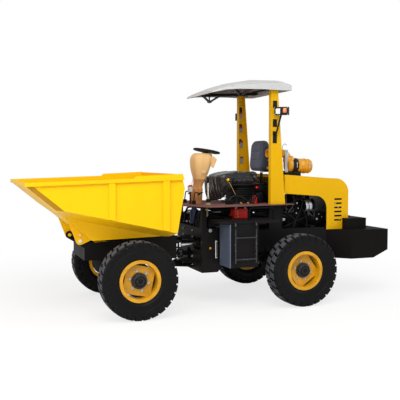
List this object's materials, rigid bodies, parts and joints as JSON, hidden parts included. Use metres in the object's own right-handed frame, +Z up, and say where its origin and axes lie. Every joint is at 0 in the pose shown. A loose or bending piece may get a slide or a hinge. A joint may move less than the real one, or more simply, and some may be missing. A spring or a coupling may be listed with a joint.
{
  "type": "site dumper",
  "caption": "Articulated wheeled site dumper: front tipping skip on a pivoting front chassis, open driver's place under a canopy, rear engine hood and counterweight.",
  "frame": {"origin": "on the ground, at the middle of the length and width", "axes": "+X forward towards the skip, +Y to the machine's left, +Z up"},
  "size_m": [4.525, 1.849, 2.7419],
  "materials": {
    "tyre": "matte",
    "rim_gold": "satin",
    "black_iron": "satin",
    "black_paint": "satin",
    "skip_yellow": "gloss",
    "deep_yellow": "gloss",
    "rust_plate": "matte",
    "tan_plastic": "matte",
    "black_plastic": "satin",
    "black_rubber": "matte",
    "black_vinyl": "satin",
    "slate_vinyl": "satin",
    "white_plastic": "satin",
    "engine_grey": "satin",
    "alloy": "satin",
    "ochre_paint": "satin",
    "red_plastic": "satin",
    "blue_paint": "satin",
    "chromed": "polished"
  },
  "bodies": {
    "rear_chassis": {"rear_frame": "black_paint", "tower": "black_paint", "clevis": "black_paint", "articulation_pins": "alloy", "rear_axle": "black_iron", "gearbox": "engine_grey", "floor_plate": "rust_plate", "side_steps": "black_paint", "step_hoops": "black_paint", "ladders": "black_paint", "side_tanks": "black_paint", "console": "tan_plastic", "controls": "black_plastic", "seat_base": "black_rubber", "seat_cushion": "black_vinyl", "seat_back": "slate_vinyl", "posts": "deep_yellow", "roof": "white_plastic", "roof_frame": "black_paint", "work_lamps": "black_plastic", "engine": "engine_grey", "engine_drive": "alloy", "radiator": "black_paint", "exhaust": "black_iron", "air_cleaner": "ochre_paint", "hood": "deep_yellow", "counterweight": "black_iron", "tow_hitch": "black_iron", "battery": "red_plastic", "hydraulic_filter": "blue_paint"},
    "front_chassis": {"front_frame": "black_paint", "front_axle": "black_iron", "propshaft_front": "black_iron"},
    "skip": {"skip_shell": "skip_yellow", "skip_rim": "skip_yellow", "skip_ribs": "skip_yellow", "skip_ears": "skip_yellow", "tip_bracket": "skip_yellow"},
    "tip_barrel": {"tip_barrel": "black_paint"},
    "tip_rod": {"tip_rod": "chromed"},
    "steering_barrel": {"steering_barrel": "black_paint"},
    "steering_rod": {"steering_rod": "chromed"},
    "steering_wheel": {"steering_wheel": "black_plastic"},
    "wheel_front_left": {"tyre_front_left": "tyre", "rim_front_left": "rim_gold", "hub_front_left": "black_iron"},
    "wheel_front_right": {"tyre_front_right": "tyre", "rim_front_right": "rim_gold", "hub_front_right": "black_iron"},
    "wheel_rear_left": {"tyre_rear_left": "tyre", "rim_rear_left": "rim_gold", "hub_rear_left": "black_iron"},
    "wheel_rear_right": {"tyre_rear_right": "tyre", "rim_rear_right": "rim_gold", "hub_rear_right": "black_iron"}
  },
  "joints": [
    {"name": "articulation", "type": "hinge", "parent": "rear_chassis", "child": "front_chassis", "pos_m": [0.3475, 0, 0.62], "axis": [0, 0, 1], "range_deg": [-30, 30]},
    {"name": "skip_tip", "type": "hinge", "parent": "front_chassis", "child": "skip", "pos_m": [1.6245, 0, 0.833], "axis": [0, 1, 0], "range_deg": [0, 62]},
    {"name": "tip_barrel_pivot", "type": "hinge", "parent": "front_chassis", "child": "tip_barrel", "pos_m": [0.7775, 0, 0.58], "axis": [0, 1, 0], "range_deg": [-17.5, 0.5]},
    {"name": "tip_rod_slide", "type": "slide", "parent": "tip_barrel", "child": "tip_rod", "axis": [0.9413, 0, 0.3376], "range_m": [-0.002, 0.189]},
    {"name": "steering_barrel_pivot", "type": "hinge", "parent": "rear_chassis", "child": "steering_barrel", "pos_m": [-0.1525, 0.25, 0.735], "axis": [0, 0, 1], "range_deg": [-6.6, 6.6]},
    {"name": "steering_rod_slide", "type": "slide", "parent": "steering_barrel", "child": "steering_rod", "axis": [0.9963, 0.0859, 0], "range_m": [-0.153, 0.153]},
    {"name": "steering_wheel_turn", "type": "hinge", "parent": "rear_chassis", "child": "steering_wheel", "pos_m": [-0.0355, 0, 1.851], "axis": [-0.1736, 0, 0.9848], "continuous": true},
    {"name": "front_left_wheel_spin", "type": "hinge", "parent": "front_chassis", "child": "wheel_front_left", "pos_m": [1.0775, 0.8075, 0.43], "axis": [0, 1, 0], "continuous": true},
    {"name": "front_right_wheel_spin", "type": "hinge", "parent": "front_chassis", "child": "wheel_front_right", "pos_m": [1.0775, -0.8075, 0.43], "axis": [0, 1, 0], "continuous": true},
    {"name": "rear_left_wheel_spin", "type": "hinge", "parent": "rear_chassis", "child": "wheel_rear_left", "pos_m": [-0.9385, 0.8075, 0.43], "axis": [0, 1, 0], "continuous": true},
    {"name": "rear_right_wheel_spin", "type": "hinge", "parent": "rear_chassis", "child": "wheel_rear_right", "pos_m": [-0.9385, -0.8075, 0.43], "axis": [0, 1, 0], "continuous": true}
  ],
  "couplings": [
    {"joint": "tip_barrel_pivot", "follows": "skip_tip", "ratio": -0.27},
    {"joint": "tip_rod_slide", "follows": "skip_tip", "m_per_rad": 0.1725},
    {"joint": "steering_barrel_pivot", "follows": "articulation", "ratio": 0.2},
    {"joint": "steering_rod_slide", "follows": "articulation", "m_per_rad": -0.288}
  ]
}
